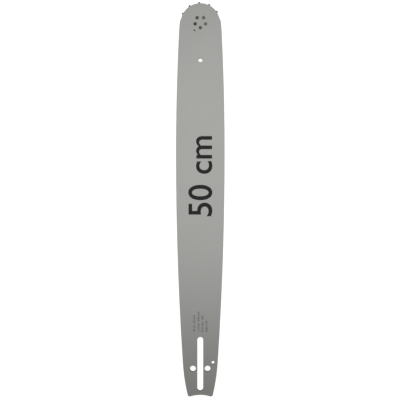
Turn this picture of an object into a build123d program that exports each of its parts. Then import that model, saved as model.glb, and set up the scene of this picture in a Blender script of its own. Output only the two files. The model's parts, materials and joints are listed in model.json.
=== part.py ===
from build123d import *
import os
from math import acos, asin, atan2, cos, hypot, pi, sin, sqrt

# Guide bar of a chainsaw, laminated from three steel plates, with a sprocket built into its nose.
# It lies on its back plate. The origin is the middle of the stud slot on the underside, +Y points
# to the nose and +Z through the front plate. Lengths are in millimetres, angles in degrees.

# Laminations
OUTER_PLATE_THICKNESS = 1.6
CORE_THICKNESS = 1.4            # also the width of the chain groove
GROOVE_DEPTH = 7.0
RAIL_CHAMFER = 0.4              # outer corner of each rail, ground off

# Tail: stud slot, scalloped end and the flanks beside them
SLOT_LENGTH = 80.8
SLOT_WIDTH = 8.8
TAIL_WALL = 5.8                 # between the slot and the scallop, on the centre line
SCALLOP_RADIUS = 50.0
TAIL_WIDTH = 36.1               # across the tail corners before they are rounded
TAIL_CORNER_RADIUS = 3.3
TAIL_FLANK_WIDTH = 52.1         # across the rails where the tail begins to narrow
TAIL_FLANK_LEAD = 1.5           # and how far that is ahead of the slot's middle

# Rails and nose
BAR_LENGTH = 586.0              # on the centre line, from the scallop to the nose of the plates
WIDEST_WIDTH = 72.8
WIDEST_FROM_NOSE = 224.0
NOSE_RADIUS = 29.3
SHOULDER_STEP = 1.2             # how far each shoulder stands out sideways from the nose arc
SHOULDER_LEAD = 2.2             # how far the shoulders lie ahead of the nose arc's centre
RUN_IN_LENGTH = 13.8            # tighter stretch of each rail just behind its shoulder
RUN_IN_RISE = 1.3

# Holes
ADJUSTER_HOLE_DIAMETER = 8.9
ADJUSTER_HOLE_SPACING = 21.9
ADJUSTER_HOLE_SETBACK = 7.0     # behind the slot's middle
OIL_HOLE_DIAMETER = 4.9
OIL_HOLE_LEAD = 2.1             # ahead of the slot's middle
HANG_HOLE_DIAMETER = 6.2
HANG_HOLE_FROM_NOSE = 85.0
GREASE_HOLE_DIAMETER = 2.4      # in the front plate only
GREASE_HOLE_ANGLE = 234.0       # about the sprocket's axis, from +X

# Nose rivets and the bearing race that they clamp
RIVET_COUNT = 5
RIVET_CIRCLE_DIAMETER = 16.4
RIVET_FIRST_ANGLE = -90.0
RIVET_DIAMETER = 5.1
RIVET_RECESS = 0.05             # both ends are upset and ground just below the plate faces
RIVET_HOLE_CLEARANCE = 0.05     # radial
RACE_RIM = 1.2                  # race wall outside the rivet holes

# Sprocket and rollers
SPROCKET_LEAD = 0.7             # how far the axis lies ahead of the nose arc's centre
TOOTH_COUNT = 12
TOOTH_PHASE = 3.4               # turn of the first tooth away from the centre line
TOOTH_PROUD = 2.1               # foremost tip beyond the nose of the plates
TOOTH_TIP_WIDTH = 2.4
TOOTH_TIP_BEVEL = 0.4           # at each corner of a tip
GULLET_DEPTH = 8.4
GULLET_RADIUS = 4.5
ROLLER_DIAMETER = 3.0
ROLLER_SPACING_PLAY = 0.02      # least gap between one roller and the next
BEARING_PLAY = 0.05             # radial, on each side of a roller
SIDE_PLAY = 0.1                 # between a turning piece and the plate beside it
SPROCKET_POCKET_GAP = 1.0       # between the tooth tips and the core plate

# Sizes that follow from these
BAR_THICKNESS = 2 * OUTER_PLATE_THICKNESS + CORE_THICKNESS
SCALLOP_Y = -SLOT_LENGTH / 2 - TAIL_WALL
NOSE_Y = SCALLOP_Y + BAR_LENGTH
NOSE_ARC_Y = NOSE_Y - NOSE_RADIUS
SPROCKET_Y = NOSE_ARC_Y + SPROCKET_LEAD
RIVET_HOLE_RADIUS = RIVET_DIAMETER / 2 + RIVET_HOLE_CLEARANCE
RACE_RADIUS = RIVET_CIRCLE_DIAMETER / 2 + RIVET_HOLE_RADIUS + RACE_RIM
ROLLER_CIRCLE_RADIUS = RACE_RADIUS + BEARING_PLAY + ROLLER_DIAMETER / 2
SPROCKET_BORE_RADIUS = ROLLER_CIRCLE_RADIUS + ROLLER_DIAMETER / 2 + BEARING_PLAY
ROLLER_COUNT = int(pi / asin((ROLLER_DIAMETER + ROLLER_SPACING_PLAY) / (2 * ROLLER_CIRCLE_RADIUS)))
TIP_RADIUS = NOSE_Y + TOOTH_PROUD - SPROCKET_Y
TURNING_THICKNESS = CORE_THICKNESS - 2 * SIDE_PLAY
SPROCKET_CENTRE = Pos(0, SPROCKET_Y)
CORE_LEVEL = Pos(0, 0, OUTER_PLATE_THICKNESS)
TURNING_LEVEL = Pos(0, 0, OUTER_PLATE_THICKNESS + SIDE_PLAY)
RIVET_PLACES = [
    SPROCKET_CENTRE * place
    for place in PolarLocations(RIVET_CIRCLE_DIAMETER / 2, RIVET_COUNT, RIVET_FIRST_ANGLE)
]


def layer_outline(inset):
    """Outline of one plate, with its rails and nose drawn in by inset and its tail end in place."""
    widest = (WIDEST_WIDTH / 2 - inset, NOSE_Y - WIDEST_FROM_NOSE)
    flank = (TAIL_FLANK_WIDTH / 2 - inset, TAIL_FLANK_LEAD)
    tail_half = TAIL_WIDTH / 2 - inset
    scallop_sag = SCALLOP_RADIUS - sqrt(SCALLOP_RADIUS**2 - tail_half**2)
    corner = (tail_half, SCALLOP_Y - scallop_sag)
    shoulder = (NOSE_RADIUS + SHOULDER_STEP - inset, NOSE_ARC_Y + SHOULDER_LEAD)
    run_in = (shoulder[0] + RUN_IN_RISE, shoulder[1] - RUN_IN_LENGTH)

    # A straight ramp leads from each shoulder to the point where it touches the nose arc
    nose_radius = NOSE_RADIUS - inset
    shoulder_distance = hypot(shoulder[0], SHOULDER_LEAD)
    touch_angle = atan2(SHOULDER_LEAD, shoulder[0]) + acos(nose_radius / shoulder_distance)
    touch = (nose_radius * cos(touch_angle), NOSE_ARC_Y + nose_radius * sin(touch_angle))

    rear_rail = TangentArc(widest, flank, tangent=(0, -1))
    tail_flank = TangentArc(flank, corner, tangent=rear_rail % 1)
    front_rail = TangentArc(widest, run_in, tangent=(0, 1))
    run_in_rail = TangentArc(run_in, shoulder, tangent=front_rail % 1)
    ramp = Line(shoulder, touch)
    right_side = [tail_flank, rear_rail, front_rail, run_in_rail, ramp]
    left_side = [mirror(edge, about=Plane.YZ) for edge in right_side]
    nose = ThreePointArc(touch, (0, NOSE_ARC_Y + nose_radius), (-touch[0], touch[1]))
    scallop = ThreePointArc(corner, (0, SCALLOP_Y), (-corner[0], corner[1]))
    outline = make_face([*right_side, nose, *left_side, scallop])
    tail_corners = outline.vertices().group_by(Axis.Y)[0]
    return fillet(tail_corners, TAIL_CORNER_RADIUS)


def through_holes():
    """Openings through all three plates: stud slot, adjuster holes, oil hole and hang hole."""
    adjuster_hole = Pos(0, -ADJUSTER_HOLE_SETBACK) * Circle(ADJUSTER_HOLE_DIAMETER / 2)
    oil_hole_x = TAIL_FLANK_WIDTH / 2 - GROOVE_DEPTH
    return [
        SlotOverall(SLOT_LENGTH, SLOT_WIDTH, rotation=90),
        Pos(-ADJUSTER_HOLE_SPACING / 2, 0) * adjuster_hole,
        Pos(ADJUSTER_HOLE_SPACING / 2, 0) * adjuster_hole,
        Pos(oil_hole_x, OIL_HOLE_LEAD) * Circle(OIL_HOLE_DIAMETER / 2),
        Pos(0, NOSE_Y - HANG_HOLE_FROM_NOSE) * Circle(HANG_HOLE_DIAMETER / 2),
    ]


def rivet_holes():
    """Ring of rivet holes through the outer plates and the bearing race."""
    return [place * Circle(RIVET_HOLE_RADIUS) for place in RIVET_PLACES]


def grease_hole():
    """Small hole over the gap between the rollers and the sprocket's bore, through which they are greased."""
    over_the_bore = Rot(Z=GREASE_HOLE_ANGLE) * Pos(SPROCKET_BORE_RADIUS, 0)
    return SPROCKET_CENTRE * over_the_bore * Circle(GREASE_HOLE_DIAMETER / 2)


def outer_plate(further_holes):
    """Outer plate, lying as the back one does: its rails are chamfered on the outer corner, underneath."""
    outline = layer_outline(0) - [*through_holes(), *rivet_holes(), *further_holes]
    plate = extrude(outline, OUTER_PLATE_THICKNESS)
    outer_face = plate.faces().sort_by(Axis.Z)[0]
    return chamfer(outer_face.outer_wire().edges(), RAIL_CHAMFER)


def core_plate():
    """Middle plate: its edges are the floor of the chain groove, its front is hollowed for the sprocket."""
    pocket = SPROCKET_CENTRE * Circle(TIP_RADIUS + SPROCKET_POCKET_GAP)
    outline = layer_outline(GROOVE_DEPTH) - [*through_holes(), pocket]
    return CORE_LEVEL * extrude(outline, CORE_THICKNESS)


def gullet():
    """One gap between two teeth, on +X: a round floor and straight flanks out past the tooth tips."""
    floor_x = TIP_RADIUS - GULLET_DEPTH + GULLET_RADIUS
    tip_angle = pi / TOOTH_COUNT - asin(TOOTH_TIP_WIDTH / 2 / TIP_RADIUS)
    tip_x = TIP_RADIUS * cos(tip_angle)
    tip_y = TIP_RADIUS * sin(tip_angle)
    tip_distance = hypot(tip_x - floor_x, tip_y)
    touch_angle = atan2(tip_y, tip_x - floor_x) + acos(GULLET_RADIUS / tip_distance)
    touch = (floor_x + GULLET_RADIUS * cos(touch_angle), GULLET_RADIUS * sin(touch_angle))
    beyond = (2 * tip_x - touch[0], 2 * tip_y - touch[1])
    floor = ThreePointArc(touch, (floor_x - GULLET_RADIUS, 0), (touch[0], -touch[1]))
    flanks = Polyline(touch, beyond, (beyond[0], -beyond[1]), (touch[0], -touch[1]))
    return make_face([floor, *flanks.edges()])


def nose_sprocket():
    """Star wheel with its first tooth turned TOOTH_PHASE away from the bar's centre line."""
    gaps = PolarLocations(0, TOOTH_COUNT) * gullet()
    star = Circle(TIP_RADIUS) - gaps
    tip_corners = star.vertices().sort_by_distance((0, 0))[-2 * TOOTH_COUNT:]
    star = chamfer(tip_corners, TOOTH_TIP_BEVEL) - Circle(SPROCKET_BORE_RADIUS)
    first_tooth = Rot(Z=90 + TOOTH_PHASE - 180 / TOOTH_COUNT)
    return TURNING_LEVEL * SPROCKET_CENTRE * first_tooth * extrude(star, TURNING_THICKNESS)


def bearing_race():
    """Hub disc as thick as the core plate, clamped between the outer plates by the rivets."""
    outline = SPROCKET_CENTRE * Circle(RACE_RADIUS) - rivet_holes()
    return CORE_LEVEL * extrude(outline, CORE_THICKNESS)


def nose_rivets():
    """Flush rivets that hold the outer plates together on the race."""
    rivet = Pos(0, 0, RIVET_RECESS) * extrude(Circle(RIVET_DIAMETER / 2), BAR_THICKNESS - 2 * RIVET_RECESS)
    return Compound([place * rivet for place in RIVET_PLACES])


def bearing_rollers():
    """Full ring of loose rollers between the race and the sprocket's bore."""
    roller = extrude(Circle(ROLLER_DIAMETER / 2), TURNING_THICKNESS)
    ring = PolarLocations(ROLLER_CIRCLE_RADIUS, ROLLER_COUNT)
    return [TURNING_LEVEL * SPROCKET_CENTRE * place * roller for place in ring]


nodes = {
    "back_plate": outer_plate([]),
    "core_plate": core_plate(),
    "front_plate": mirror(outer_plate([grease_hole()]), about=Plane.XY.offset(BAR_THICKNESS / 2)),
    "nose_sprocket": nose_sprocket(),
    "bearing_race": bearing_race(),
    "nose_rivets": nose_rivets(),
}
for number, roller in enumerate(bearing_rollers(), start=1):
    nodes[f"bearing_roller_{number:02d}"] = roller

os.makedirs("parts", exist_ok=True)
for name, shape in nodes.items():
    export_step(shape, f"parts/{name}.step")
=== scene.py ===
import bmesh
import bpy
import json
from math import pi, radians
from mathutils import Matrix, Vector


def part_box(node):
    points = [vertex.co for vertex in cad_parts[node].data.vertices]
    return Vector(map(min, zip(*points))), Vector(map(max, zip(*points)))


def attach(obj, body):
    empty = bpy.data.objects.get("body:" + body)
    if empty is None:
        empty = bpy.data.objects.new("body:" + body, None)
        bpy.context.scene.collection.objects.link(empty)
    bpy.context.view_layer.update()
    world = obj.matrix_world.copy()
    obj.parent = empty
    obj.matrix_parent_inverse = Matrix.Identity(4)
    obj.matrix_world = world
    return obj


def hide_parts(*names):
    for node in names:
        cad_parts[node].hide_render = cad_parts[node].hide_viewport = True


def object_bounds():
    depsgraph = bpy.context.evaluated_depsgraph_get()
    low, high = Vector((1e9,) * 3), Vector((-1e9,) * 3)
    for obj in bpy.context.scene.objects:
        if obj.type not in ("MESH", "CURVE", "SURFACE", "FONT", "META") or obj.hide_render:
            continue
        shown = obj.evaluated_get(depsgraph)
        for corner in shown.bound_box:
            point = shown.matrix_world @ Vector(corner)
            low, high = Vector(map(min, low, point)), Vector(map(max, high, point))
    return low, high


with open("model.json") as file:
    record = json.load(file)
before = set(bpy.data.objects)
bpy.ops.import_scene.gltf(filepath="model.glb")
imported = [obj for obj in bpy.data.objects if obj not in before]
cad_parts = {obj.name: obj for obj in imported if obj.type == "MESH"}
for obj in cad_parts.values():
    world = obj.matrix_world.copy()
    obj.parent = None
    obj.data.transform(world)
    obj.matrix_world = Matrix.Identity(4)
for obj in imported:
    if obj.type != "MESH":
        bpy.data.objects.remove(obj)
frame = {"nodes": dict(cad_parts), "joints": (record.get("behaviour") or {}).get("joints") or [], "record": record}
cad_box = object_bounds()

# Core plate
# The thinner middle sheet of the bar, spot welded between the outer plates and set back all round to
# leave the chain groove. It is bare cold-rolled steel, kept dark by the oil that runs in the groove.
MM = 0.001
OILED_STEEL = ("#262523", "#45433E")
OILED_ROUGHNESS = (0.28, 0.55)
OILED_METALLIC = 0.7              # the film of oil hides part of the metal
OIL_STREAK = 5.0                  # mm, patches where the oil has run thick or thin
OIL_STREAK_DETAIL = 4.0           # levels of ever finer patches
# hole walls near black: painted shade of the inside of the holes, over torn steel
PUNCHED_WALL_PAINTED_SHADE = ("#1F1E1D", "#383734")
PUNCHED_ROUGHNESS = (0.60, 0.80)
PUNCHED_TEAR = 0.5                # mm, height of the torn grain in a punched wall
PATCH_DETAIL = 3.0                # levels of ever finer patches in most other finishes
DULL_SHINE = 0.1                  # specular level of a torn, printed or scorched surface
WELD_DISTANCE = 0.002             # mm, within which corners of facets are one
SAME_PLANE = radians(0.5)         # largest turn between facets of one flat face
SIDE_FACING = 0.5                 # upright part of a normal, past which a face isn't on a wall
LEVEL_FACING = 0.999              # upright part of a level face's normal; the others are shaded smooth
EDGE_EASING = 0.1                 # mm, rounding that tumbling leaves on every edge
EASED_EDGE = radians(30)          # least turn of an edge that is eased
EASING_STEPS = 2
HOLE_MARGIN = 0.4                 # mm round a hole, within which a wall is the hole's
NOSE_HOLES_REACH = 18.0           # mm, of the rivet and grease holes from the sprocket's axis
FACE, INNER, RIM, HOLE = range(4)   # places in a plate's list of finishes


def linear(hex_colour):
    """Colour written as sRGB hex, as the linear values that shaders take."""
    channels = [int(hex_colour[i:i + 2], 16) / 255 for i in (1, 3, 5)]
    return [c / 12.92 if c <= 0.04045 else ((c + 0.055) / 1.055) ** 2.4 for c in channels] + [1.0]


def per_metre(size_mm):
    """Texture scale at which one wave of a pattern is size_mm long."""
    return 1 / (size_mm * MM)


def add_node(tree, kind, inputs=None, **settings):
    """Adds a node with its settings; an input is given as a value or as the socket that feeds it."""
    made = tree.nodes.new("ShaderNode" + kind)
    for name, value in settings.items():
        setattr(made, name, value)
    for name, value in (inputs or {}).items():
        if isinstance(value, bpy.types.NodeSocket):
            tree.links.new(value, made.inputs[name])
        else:
            made.inputs[name].default_value = value
    return made


def new_finish(name, even_values):
    """Material with a Principled shader, with the values that are even all over set on its sockets."""
    finish = bpy.data.materials.new(name)
    finish.use_nodes = True
    shader = finish.node_tree.nodes["Principled BSDF"]
    for socket, value in even_values.items():
        shader.inputs[socket].default_value = value
    place = add_node(finish.node_tree, "TexCoord")
    return finish, finish.node_tree, shader, place


def vary(tree, shader, pattern, colours, roughness):
    """Lets one pattern, from 0 to 1, carry a finish between two colours and between two roughnesses."""
    tone = add_node(
        tree,
        "Mix",
        {"Factor": pattern, "A": linear(colours[0]), "B": linear(colours[1])},
        data_type="RGBA",
    )
    gloss = add_node(tree, "MapRange", {"Value": pattern, "To Min": roughness[0], "To Max": roughness[1]})
    tree.links.new(tone.outputs["Result"], shader.inputs["Base Color"])
    tree.links.new(gloss.outputs["Result"], shader.inputs["Roughness"])


def patchy_finish(name, even_values, patch, colours, roughness, detail=PATCH_DETAIL):
    """Finish in soft patches, patch mm across, between two colours and between two roughnesses."""
    finish, tree, shader, place = new_finish(name, even_values)
    patches = add_node(
        tree,
        "TexNoise",
        {"Vector": place.outputs["Object"], "Scale": per_metre(patch), "Detail": detail},
    )
    vary(tree, shader, patches.outputs["Fac"], colours, roughness)
    return finish


mounts = {mount["name"]: mount for mount in frame["record"]["mounts"]}
joints = {joint["name"]: joint for joint in frame["joints"]}
sprocket_axis = Vector(joints["sprocket_spin"]["pos_m"])
round_holes = [(sprocket_axis, NOSE_HOLES_REACH * MM)]
for name in ("adjuster_hole_left", "adjuster_hole_right", "oil_hole", "hang_hole"):
    reach = mounts[name]["dims"]["r_mm"] + HOLE_MARGIN
    round_holes.append((Vector(mounts[name]["pos_m"]), reach * MM))
slot_half_width = (mounts["stud_slot"]["dims"]["hole_r_mm"] + HOLE_MARGIN) * MM
slot_half_length = (mounts["stud_slot"]["dims"]["slot_length_mm"] / 2 + HOLE_MARGIN) * MM


def in_a_hole(point):
    """Whether a point of a plate's wall belongs to one of its holes, and not to the rim round it."""
    in_slot = abs(point.x) < slot_half_width and abs(point.y) < slot_half_length
    return in_slot or any((point - centre).xy.length < reach for centre, reach in round_holes)


def finish_plate(node, outward, finishes):
    """Welds a plate's facets to whole faces, eases its edges and coats it.

    outward is 1 where the plate's face looks up and -1 where it looks down; finishes are those of its
    face, its inner side, its rim and the walls of its holes.
    """
    plate = bpy.data.objects.new(node + "_finished", frame["nodes"][node].data.copy())
    bpy.context.scene.collection.objects.link(plate)
    bpy.ops.object.select_all(action="DESELECT")
    plate.select_set(True)
    bpy.context.view_layer.objects.active = plate
    bpy.ops.mesh.customdata_custom_splitnormals_clear()
    bpy.ops.object.mode_set(mode="EDIT")
    bpy.ops.mesh.select_all(action="SELECT")
    bpy.ops.mesh.remove_doubles(threshold=WELD_DISTANCE * MM)
    bpy.ops.mesh.dissolve_limited(angle_limit=SAME_PLANE)
    bpy.ops.object.mode_set(mode="OBJECT")
    plate.data.materials.clear()
    for finish in finishes:
        plate.data.materials.append(finish)
    for face in plate.data.polygons:
        facing = face.normal.z * outward
        if facing > SIDE_FACING:
            face.material_index = FACE
        elif facing < -SIDE_FACING:
            face.material_index = INNER
        elif in_a_hole(face.center):
            face.material_index = HOLE
        else:
            face.material_index = RIM
    easing = plate.modifiers.new("eased_edges", "BEVEL")
    easing.width = EDGE_EASING * MM
    easing.segments = EASING_STEPS
    easing.angle_limit = EASED_EDGE
    bpy.ops.object.modifier_apply(modifier=easing.name)
    for face in plate.data.polygons:
        face.use_smooth = abs(face.normal.z) < LEVEL_FACING
    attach(plate, "bar")
    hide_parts(node)


# rolled steel under a film of oil: dark brown-grey, with glossier and duller patches
oiled_steel = patchy_finish(
    "oiled_core_steel",
    {"Metallic": OILED_METALLIC},
    OIL_STREAK,
    OILED_STEEL,
    OILED_ROUGHNESS,
    detail=OIL_STREAK_DETAIL,
)
# wall of a punched hole: torn and dull, with next to no shine, and painted near black as the shade inside the hole
hole_wall_painted_shade = patchy_finish(
    "punched_wall_painted_shade", {"Specular IOR Level": DULL_SHINE}, PUNCHED_TEAR, PUNCHED_WALL_PAINTED_SHADE, PUNCHED_ROUGHNESS
)
finish_plate("core_plate", 1, (oiled_steel, oiled_steel, oiled_steel, hole_wall_painted_shade))

# Nose sprocket
# A hardened star wheel between the outer plates that carries the chain round the nose. It is stamped
# from alloy steel and blackened in hot oxide; only its tooth tips stand out of the groove.
BLACK_OXIDE = ("#1B1B1C", "#323233")
BLACK_OXIDE_ROUGHNESS = (0.34, 0.52)
BLACK_OXIDE_METALLIC = 0.7        # the oxide hides part of the metal
BLACK_OXIDE_CLOUD = 1.5           # mm, clouding from the bath


def coat_node(node, finish):
    """Gives a solid its finish."""
    solid = frame["nodes"][node]
    solid.data.materials.clear()
    solid.data.materials.append(finish)


# black oxide on hardened steel: close to black, satin, faintly clouded
blackened_steel = patchy_finish(
    "blackened_sprocket_steel",
    {"Metallic": BLACK_OXIDE_METALLIC},
    BLACK_OXIDE_CLOUD,
    BLACK_OXIDE,
    BLACK_OXIDE_ROUGHNESS,
)
coat_node("nose_sprocket", blackened_steel)

# Bearing race and rollers
# The sprocket runs on a full ring of short loose rollers round a hub that the rivets clamp. They are
# ground bearing steel, packed with black grease through the small hole beside the rivets. Their near
# black is partly painted shade, for the shade deep in the grease hole.
# near black: grease, and partly painted shade of the deep grease hole
BEARING_STEEL = ("#0B0A09", "#3A3835")
BEARING_ROUGHNESS = (0.50, 0.22)
BEARING_METALLIC = 0.9            # the grease hides a little of the metal
GREASE_SMEAR = 2.2                # mm, between wiped and greasy places

# polished bearing steel: grey where wiped, and black where the grease clings, the black partly painted shade of
# the deep grease hole
bearing_steel = patchy_finish(
    "bearing_grease_and_painted_shade", {"Metallic": BEARING_METALLIC}, GREASE_SMEAR, BEARING_STEEL, BEARING_ROUGHNESS
)
for node in frame["nodes"]:
    if node.startswith("bearing_"):
        coat_node(node, bearing_steel)

# Outer plates
# The two sides of the bar, stamped from hardened sheet steel and sprayed with a silver-grey satin
# lacquer. Their rails are then ground bare all round; the walls of the punched holes are painted near
# black, a painted shade of the holes' insides.
LACQUER_GREY = ("#959592", "#ABABA8")
LACQUER_ROUGHNESS = (0.36, 0.54)
LACQUER_IOR = 1.45
LACQUER_FLAKE = 0.9               # mm, about three times as coarse as the real flake, so that it shows
LACQUER_CLOUD = 60.0              # mm, slow drift of the sprayed coat
LACQUER_CLOUD_SHARE = 0.25        # of the drift in the coat's pattern; the rest is flake
LACQUER_PEEL = 1.6                # mm, width of the orange-peel waves
LACQUER_PEEL_HEIGHT = 0.006       # mm
SOFT_DETAIL = 1.0                 # levels of finer waves in the drift and the peel
GROUND_STEEL = ("#8F8D89", "#C4C2BD")
GROUND_ROUGHNESS = (0.24, 0.42)
BARE_METALLIC = 1.0
GRINDING_LINE = 0.12              # mm across one grinding line, which runs along the rail
GRINDING_LENGTH = 18.0            # mm
GRINDING_DEPTH = 0.01             # mm
GRINDING_DETAIL = 2.0             # levels of finer lines


def satin_lacquer():
    """Silver-grey lacquer sprayed thin over steel: even grey, satin, with a fine flake and faint peel."""
    finish, tree, shader, place = new_finish("satin_grey_lacquer", {"IOR": LACQUER_IOR})
    spot = place.outputs["Object"]
    flake_grain = {"Vector": spot, "Scale": per_metre(LACQUER_FLAKE), "Detail": PATCH_DETAIL}
    cloud_drift = {"Vector": spot, "Scale": per_metre(LACQUER_CLOUD), "Detail": SOFT_DETAIL}
    peel_waves = {"Vector": spot, "Scale": per_metre(LACQUER_PEEL), "Detail": SOFT_DETAIL}
    flake = add_node(tree, "TexNoise", flake_grain).outputs["Fac"]
    cloud = add_node(tree, "TexNoise", cloud_drift).outputs["Fac"]
    peel = add_node(tree, "TexNoise", peel_waves).outputs["Fac"]
    coat = add_node(tree, "Mix", {"Factor": LACQUER_CLOUD_SHARE, "A": flake, "B": cloud})
    bump = add_node(tree, "Bump", {"Height": peel, "Distance": LACQUER_PEEL_HEIGHT * MM})
    vary(tree, shader, coat.outputs["Result"], LACQUER_GREY, LACQUER_ROUGHNESS)
    tree.links.new(bump.outputs["Normal"], shader.inputs["Normal"])
    return finish


def ground_rail_steel():
    """Bare rail steel, belt ground along its length: bright, with fine lines that follow the rail."""
    finish, tree, shader, place = new_finish("ground_rail_steel", {"Metallic": BARE_METALLIC})
    stretch = (per_metre(GRINDING_LENGTH), per_metre(GRINDING_LENGTH), per_metre(GRINDING_LINE))
    along = add_node(tree, "Mapping", {"Vector": place.outputs["Object"], "Scale": stretch})
    line_grain = {"Vector": along.outputs["Vector"], "Scale": 1.0, "Detail": GRINDING_DETAIL}
    lines = add_node(tree, "TexNoise", line_grain).outputs["Fac"]
    bump = add_node(tree, "Bump", {"Height": lines, "Distance": GRINDING_DEPTH * MM})
    vary(tree, shader, lines, GROUND_STEEL, GROUND_ROUGHNESS)
    tree.links.new(bump.outputs["Normal"], shader.inputs["Normal"])
    return finish


outer_finishes = (satin_lacquer(), oiled_steel, ground_rail_steel(), hole_wall_painted_shade)
finish_plate("back_plate", -1, outer_finishes)
finish_plate("front_plate", 1, outer_finishes)

# Nose rivets
# Five soft steel rivets clamp the plates on the bearing race. Each end is spun over flush in its hole,
# which leaves a ring and a small pip in the head, and dark burnish from the tool. Their colour is also
# painted lighter towards +x, a painted light as if lamp light fell from that side.
RIVET_RADIUS = 2.55               # mm
RIVET_CIRCLE_RADIUS = 8.2         # mm
RIVET_COUNT = 5
RIVET_SIDES = 48
END_FACING = 0.9                  # upright part of a normal, past which a face is an end
HEAD_STEPS = ((0.4, 0.16), (0.25, 0.0), (0.3, -0.12), (0.9, 0.0), (0.3, 0.12))    # mm in and mm down
RIM_EASING = 0.12                 # mm
RIM_EDGE = radians(60)            # least turn of an edge that is eased
RIVET_STEEL = ("#1C1B1A", "#565552")
RIVET_ROUGHNESS = (0.48, 0.30)
RIVET_METALLIC = 0.85             # the burnish hides a little of the metal
SPUN_RING = 0.4                   # mm, between the marks of the spinning tool
SPUN_WAVER = 1.5                  # unevenness of the marks
WAVE_LENGTH = pi / 10             # of Blender's rings at a scale of 1
CAP_MAP_RADIUS = 0.24             # of a rivet's end on its map
CAP_MAP_CENTRE = 0.25             # of the first end on the map, each way
CAP_MAP_PITCH = 0.5               # from the first end to the second
PAINTED_LIGHT_DRIFT = 10.0              # mm each way from the centre line, over which the heads are painted lighter towards +x: painted light
PAINTED_LIGHT_SHARE = 0.7         # of the painted light in the rivets' pattern; the rest is the rings


def spun_rivet_steel_painted_light():
    """Soft steel burnished by a spinning tool: dark grey, with rings about the middle of each head, and painted
    lighter towards +x as painted light from that side.
    """
    finish, tree, shader, place = new_finish("spun_rivet_steel_painted_light", {"Metallic": RIVET_METALLIC})
    rings_per_unit = RIVET_RADIUS / CAP_MAP_RADIUS / SPUN_RING
    one_end = {0: place.outputs["UV"], 1: (CAP_MAP_PITCH, 1.0, 1.0)}
    cap = add_node(tree, "VectorMath", one_end, operation="MODULO")
    to_middle = (-CAP_MAP_CENTRE, -CAP_MAP_CENTRE, 0.0)
    centred = add_node(tree, "Mapping", {"Vector": cap.outputs["Vector"], "Location": to_middle})
    rings = add_node(
        tree,
        "TexWave",
        {
            "Vector": centred.outputs["Vector"],
            "Scale": WAVE_LENGTH * rings_per_unit,
            "Distortion": SPUN_WAVER,
        },
        wave_type="RINGS",
        rings_direction="Z",
    )
    # painted light: the heads grow lighter and glossier towards +x, as if lit from that side
    across = add_node(tree, "SeparateXYZ", {"Vector": place.outputs["Object"]})
    drift = add_node(
        tree,
        "MapRange",
        {"Value": across.outputs["X"], "From Min": -PAINTED_LIGHT_DRIFT * MM, "From Max": PAINTED_LIGHT_DRIFT * MM},
    )
    rings_and_painted_light = add_node(
        tree,
        "Mix",
        {"Factor": PAINTED_LIGHT_SHARE, "A": rings.outputs["Fac"], "B": drift.outputs["Result"]},
    )
    vary(tree, shader, rings_and_painted_light.outputs["Result"], RIVET_STEEL, RIVET_ROUGHNESS)
    return finish


low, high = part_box("nose_rivets")
bpy.ops.object.select_all(action="DESELECT")
bpy.ops.mesh.primitive_cylinder_add(
    vertices=RIVET_SIDES,
    radius=RIVET_RADIUS * MM,
    depth=high.z - low.z,
    location=(sprocket_axis.x, sprocket_axis.y - RIVET_CIRCLE_RADIUS * MM, (low.z + high.z) / 2),
)
rivet = bpy.context.object
bpy.ops.object.transform_apply(location=True)
bpy.ops.object.mode_set(mode="EDIT")
for side in (1, -1):
    mesh = bmesh.from_edit_mesh(rivet.data)
    for face in mesh.faces:
        face.select_set(face.normal.z * side > END_FACING)
    for inward, down in HEAD_STEPS:
        bpy.ops.mesh.inset(thickness=inward * MM)
        bpy.ops.transform.translate(value=(0, 0, -side * down * MM))
bpy.ops.object.mode_set(mode="OBJECT")
easing = rivet.modifiers.new("eased_rim", "BEVEL")
easing.width = RIM_EASING * MM
easing.segments = EASING_STEPS
easing.angle_limit = RIM_EDGE
bpy.ops.object.modifier_apply(modifier=easing.name)
bpy.ops.object.shade_smooth_by_angle(angle=EASED_EDGE)
to_axis = Matrix.Translation(sprocket_axis)
for n in range(1, RIVET_COUNT):
    turn = Matrix.Rotation(radians(360 / RIVET_COUNT * n), 4, "Z")
    copy = bpy.data.objects.new("rivet", rivet.data.copy())
    copy.data.transform(to_axis @ turn @ to_axis.inverted())
    bpy.context.scene.collection.objects.link(copy)
    copy.select_set(True)
bpy.ops.object.join()
rivet.name = "nose_rivets_spun"
rivet.data.materials.append(spun_rivet_steel_painted_light())
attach(rivet, "bar")
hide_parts("nose_rivets")

# Size mark
# The cutting length, screen printed large in black along the middle of the bar and read with the bar
# lying on its side.
SIZE_MARK = "50 cm"
SIZE_MARK_SIZE = 50.0             # mm
SIZE_MARK_WEIGHT = 0.5            # mm added round each stroke
SIZE_MARK_START = 219.0           # mm from the middle of the stud slot
SIZE_MARK_ACROSS = 2.0            # mm, which sets the figures on the bar's centre line
MARK_THICKNESS = 0.015            # mm, of the ink and of the laser marks
INK_BLACK = ("#131314", "#202021")
INK_ROUGHNESS = (0.42, 0.60)
INK_GRAIN = 1.2                   # mm


def mark_line(words, size, weight, start, across, finish):
    """One line on the front plate, read from the start towards the nose; sizes in millimetres."""
    bpy.ops.object.select_all(action="DESELECT")
    bpy.ops.object.text_add()
    line = bpy.context.object
    line.data.body = words
    line.data.size = size * MM
    line.data.offset = weight * MM
    line.data.extrude = MARK_THICKNESS / 2 * MM
    line.data.align_y = "CENTER"
    bpy.ops.object.convert(target="MESH")
    bpy.ops.object.mode_set(mode="EDIT")
    bpy.ops.mesh.select_all(action="SELECT")
    bpy.ops.mesh.remove_doubles(threshold=WELD_DISTANCE * MM)
    bpy.ops.object.mode_set(mode="OBJECT")
    line.rotation_euler = (0, 0, radians(90))
    line.location = (across * MM, start * MM, cad_box[1].z + MARK_THICKNESS / 2 * MM)
    bpy.ops.object.transform_apply(location=True, rotation=True)
    line.data.materials.append(finish)
    return line


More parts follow.
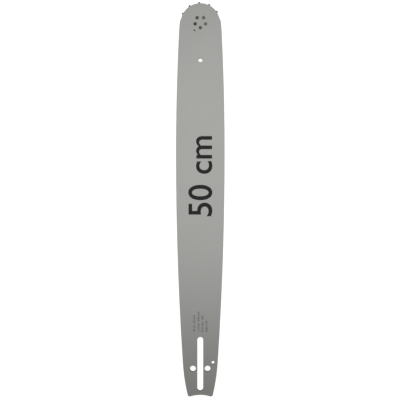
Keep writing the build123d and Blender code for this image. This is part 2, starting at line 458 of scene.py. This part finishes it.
# screen-printed enamel ink: black, dull, a little uneven where the mesh left it thin
ink = patchy_finish("printing_ink", {"Specular IOR Level": DULL_SHINE}, INK_GRAIN, INK_BLACK, INK_ROUGHNESS)
size_mark = mark_line(SIZE_MARK, SIZE_MARK_SIZE, SIZE_MARK_WEIGHT, SIZE_MARK_START, SIZE_MARK_ACROSS, ink)
size_mark.name = "size_mark"
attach(size_mark, "bar")

# Chain data
# Four short lines of figures for the chain that fits, laser marked ahead of the stud slot: cutting
# length, gauge, pitch, and count of drive links.
CHAIN_DATA = (                    # words of each line, and its place across the bar in mm
    ("50 cm  20 inch", -9.1),
    ("1.3 mm  .050 inch", -2.6),
    ("8.25 mm  .325", 3.4),
    ("links x 78", 9.3),
)
CHAIN_DATA_SIZE = 4.2             # mm
CHAIN_DATA_WEIGHT = 0.025         # mm added round each stroke
CHAIN_DATA_START = 48.2           # mm from the middle of the stud slot
LASER_MARK = ("#333230", "#504E4A")
LASER_ROUGHNESS = (0.45, 0.62)
LASER_GRAIN = 0.4                 # mm
LASER_GRAIN_DETAIL = 2.0          # levels of ever finer grain

# lacquer scorched by a laser: thin, dull grey-brown lines
scorched = patchy_finish(
    "laser_mark",
    {"Specular IOR Level": DULL_SHINE},
    LASER_GRAIN,
    LASER_MARK,
    LASER_ROUGHNESS,
    detail=LASER_GRAIN_DETAIL,
)
lines = [
    mark_line(words, CHAIN_DATA_SIZE, CHAIN_DATA_WEIGHT, CHAIN_DATA_START, across, scorched)
    for words, across in CHAIN_DATA
]
for line in lines:
    line.select_set(True)
bpy.context.view_layer.objects.active = lines[0]
bpy.ops.object.join()
lines[0].name = "chain_data"
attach(lines[0], "bar")

# Floor and surroundings
# A plain white studio floor just under the bar, which shows pure white and keeps a soft shadow, in a
# room of even white light.
FLOOR_SIZE = 8.0                  # m
FLOOR_DROP = 0.2                  # mm under the bar
FLOOR_PAPER = "#E7E7E7"           # what the floor throws back on the bar
FLOOR_SHADED = "#898989"          # what it shows of lamp and shadow, over its glow
FLOOR_GLOW = 0.96                 # of pure white
ROOM_LIGHT = 0.165                # of the white that the room shows
WHITE = "#FFFFFF"


def seen_rays(tree):
    """1 for rays that show the surroundings to the camera, straight on or in a gloss; 0 for light."""
    rays = add_node(tree, "LightPath").outputs
    straight = {0: rays["Is Camera Ray"], 1: rays["Is Glossy Ray"]}
    direct = add_node(tree, "Math", straight, operation="MAXIMUM")
    through = {0: direct.outputs[0], 1: rays["Is Transmission Ray"]}
    return add_node(tree, "Math", through, operation="MAXIMUM").outputs[0]


bpy.ops.mesh.primitive_plane_add(size=FLOOR_SIZE, location=(0, 0, -FLOOR_DROP * MM))
floor = bpy.context.object
floor.name = "floor"
floor_finish = bpy.data.materials.new("white_floor")
floor_finish.use_nodes = True
tree = floor_finish.node_tree
tree.nodes.clear()
paper = add_node(tree, "BsdfDiffuse", {"Color": linear(FLOOR_PAPER)})
shaded = add_node(tree, "BsdfDiffuse", {"Color": linear(FLOOR_SHADED)})
glow = add_node(tree, "Emission", {"Color": linear(WHITE), "Strength": FLOOR_GLOW})
white = add_node(tree, "AddShader", {0: shaded.outputs[0], 1: glow.outputs[0]})
either = add_node(tree, "MixShader", {0: seen_rays(tree), 1: paper.outputs[0], 2: white.outputs[0]})
add_node(tree, "OutputMaterial", {"Surface": either.outputs[0]})
floor.data.materials.append(floor_finish)

room = bpy.data.worlds.new("studio")
bpy.context.scene.world = room
room.use_nodes = True
tree = room.node_tree
tree.nodes.clear()
strength = add_node(tree, "MapRange", {"Value": seen_rays(tree), "To Min": ROOM_LIGHT, "To Max": 1.0})
sky = add_node(tree, "Background", {"Color": linear(WHITE), "Strength": strength.outputs["Result"]})
add_node(tree, "OutputWorld", {"Surface": sky.outputs[0]})

# Lamp and camera
# One wide softbox hangs level over the nose half, so the bar darkens to its tail. The camera looks
# straight down.
LAMP_PLACE = (0.02, 0.348, 0.262)   # m
LAMP_WIDTH = 0.5                  # m
LAMP_LENGTH = 0.613               # m
LAMP_POWER = 1.27                 # W
CAMERA_OVER = (-0.00048, 0.24533)   # m, place of the bar that it looks down on
CAMERA_DISTANCE = 1.0             # m, from the front plate
CAMERA_ROLL = radians(0.016)      # the photo is turned by a hair
VIEW_WIDTH = 0.5981               # m, at the front plate
SENSOR_WIDTH = 36                 # mm

bpy.ops.object.light_add(type="AREA", location=LAMP_PLACE)
lamp = bpy.context.object
lamp.data.shape = "RECTANGLE"
lamp.data.size = LAMP_WIDTH
lamp.data.size_y = LAMP_LENGTH
lamp.data.energy = LAMP_POWER
lamp.visible_camera = False

camera_height = cad_box[1].z + CAMERA_DISTANCE
bpy.ops.object.camera_add(location=(*CAMERA_OVER, camera_height), rotation=(0, 0, CAMERA_ROLL))
camera = bpy.context.object
camera.data.sensor_width = SENSOR_WIDTH
camera.data.lens = SENSOR_WIDTH * CAMERA_DISTANCE / VIEW_WIDTH
bpy.context.scene.camera = camera
bpy.context.scene.view_settings.view_transform = "Standard"
